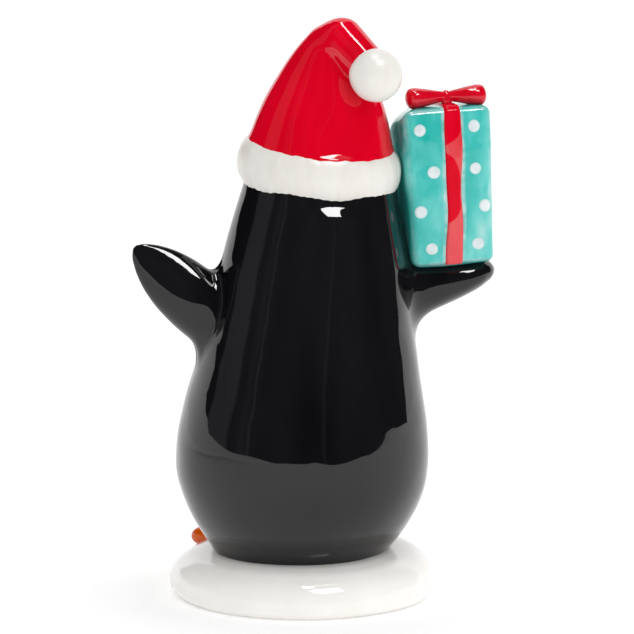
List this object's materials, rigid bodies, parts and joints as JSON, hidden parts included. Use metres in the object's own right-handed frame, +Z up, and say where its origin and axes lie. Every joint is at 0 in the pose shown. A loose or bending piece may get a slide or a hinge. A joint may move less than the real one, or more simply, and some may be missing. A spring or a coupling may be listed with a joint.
{
  "type": "penguin figurine",
  "caption": "Glazed ceramic penguin on a snow base, in a drooping red hat with fur brim and pom-pom, one flipper raised and the other carrying a dotted gift with a bow.",
  "frame": {"origin": "middle of the underside of the snow base, on the surface that the figurine stands on", "axes": "+Z up; the penguin faces -Y; its raised left flipper points to +X and the gift is at -X"},
  "size_m": [0.1428, 0.1122, 0.2257],
  "materials": {
    "black_glaze": "gloss",
    "white_glaze": "gloss",
    "snow_glaze": "gloss",
    "orange_glaze": "gloss",
    "red_glaze": "gloss",
    "fur_glaze": "gloss",
    "teal_glaze": "gloss",
    "ribbon_glaze": "gloss"
  },
  "bodies": {
    "root": {"snow_base": "snow_glaze", "body_shell": "black_glaze", "white_front": "white_glaze", "left_eye": "black_glaze", "right_eye": "black_glaze", "beak": "orange_glaze", "left_flipper": "black_glaze", "right_flipper": "black_glaze", "left_foot": "orange_glaze", "right_foot": "orange_glaze", "hat_crown": "red_glaze", "hat_brim": "fur_glaze", "pom_pom": "fur_glaze", "gift_box": "teal_glaze", "gift_ribbon": "ribbon_glaze", "bow_left_loop": "ribbon_glaze", "bow_right_loop": "ribbon_glaze", "bow_knot": "ribbon_glaze"}
  },
  "joints": []
}
